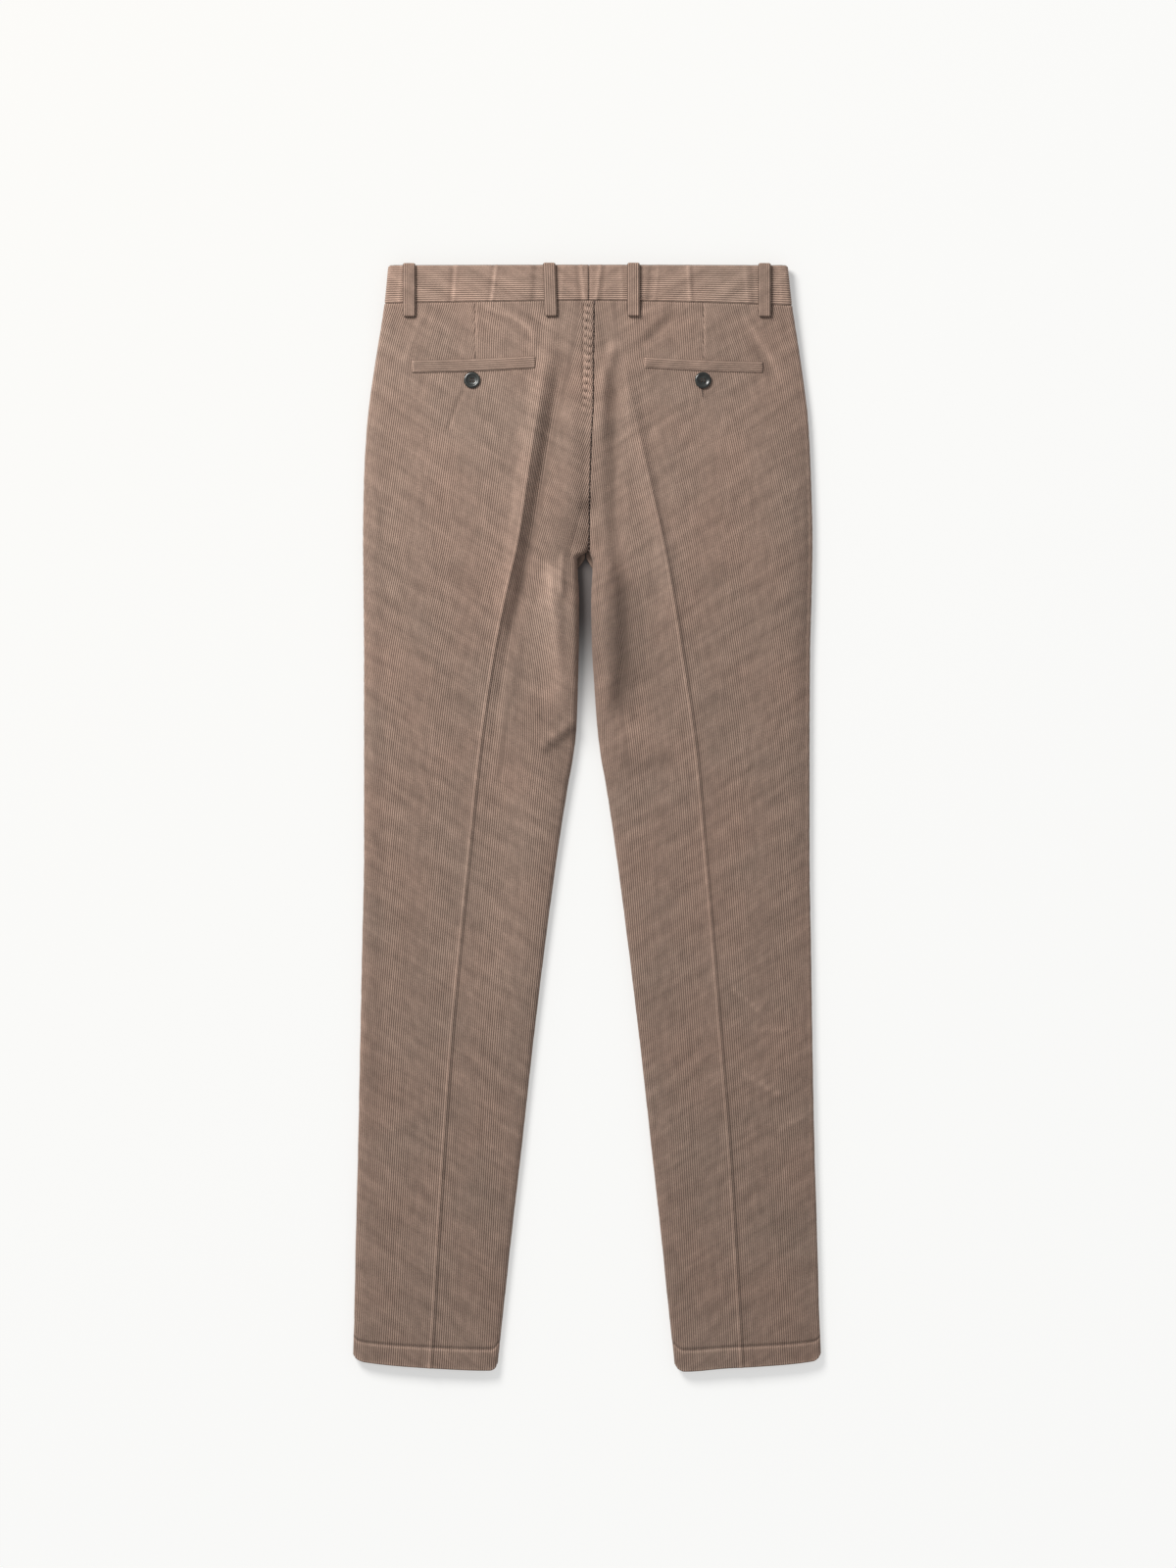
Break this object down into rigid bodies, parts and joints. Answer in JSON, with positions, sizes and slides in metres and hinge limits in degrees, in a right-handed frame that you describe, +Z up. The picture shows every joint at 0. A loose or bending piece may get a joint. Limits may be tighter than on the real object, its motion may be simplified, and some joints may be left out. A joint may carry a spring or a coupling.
{
  "type": "corduroy trousers",
  "caption": "Long corduroy trousers laid out flat with the back upwards: waistband with belt loops, welt pockets with buttons, pressed creases and straight hems.",
  "frame": {"origin": "centre of the bounding box, on the surface that the trousers lie on", "axes": "+Z up from the surface, through the front to the back; +Y from the hems towards the waist; +X towards the wearer's right leg"},
  "size_m": [0.478, 1.1292, 0.023],
  "materials": {
    "corduroy": "fine-wale cotton corduroy, soft cut pile",
    "button": "polished dark button"
  },
  "bodies": {
    "root": {"back_left": "corduroy", "back_right": "corduroy", "front_left": "corduroy", "front_right": "corduroy", "waistband_left": "corduroy", "waistband_right": "corduroy", "loop_back_1": "corduroy", "loop_back_2": "corduroy", "loop_back_3": "corduroy", "loop_back_4": "corduroy", "loop_front_1": "corduroy", "loop_front_2": "corduroy", "welt_left": "corduroy", "welt_right": "corduroy", "pocket_button_left": "button", "pocket_button_right": "button", "fly_shield": "corduroy", "waist_button": "button"}
  },
  "joints": []
}
